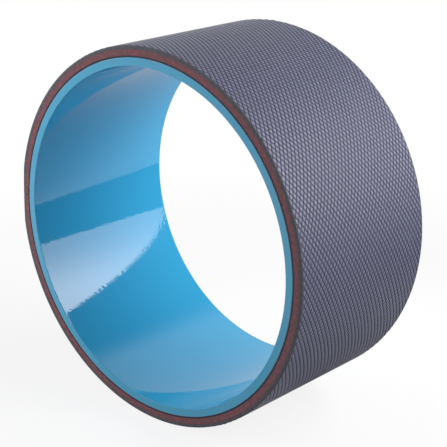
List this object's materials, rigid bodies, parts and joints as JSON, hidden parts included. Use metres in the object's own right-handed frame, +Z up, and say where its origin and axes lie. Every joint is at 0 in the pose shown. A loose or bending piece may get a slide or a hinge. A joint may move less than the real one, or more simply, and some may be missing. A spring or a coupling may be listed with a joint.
{
  "type": "yoga wheel",
  "caption": "Open wheel for stretching and rolling: a rigid glossy plastic hoop with a two-layer foam mat strip bonded round its outside as an embossed grip tread.",
  "frame": {"origin": "centre of the wheel, on its axis at the middle of its width", "axes": "+Z up with the wheel standing on its tread, +Y along the wheel's axis away from the rim that the picture shows, +X to the right as seen looking along +Y"},
  "size_m": [0.259, 0.127, 0.26],
  "materials": {
    "hoop_plastic": "moulded ABS, sky blue, glossy",
    "adhesive": "dried contact adhesive, near black",
    "cushion_foam": "foamed TPE, red-brown, cut edge matt",
    "grip_foam": "foamed TPE, slate grey, embossed tread with a faint sheen"
  },
  "bodies": {
    "root": {"rigid_hoop": "hoop_plastic", "adhesive_film": "adhesive", "cushion_layer": "cushion_foam", "grip_layer": "grip_foam"}
  },
  "joints": []
}
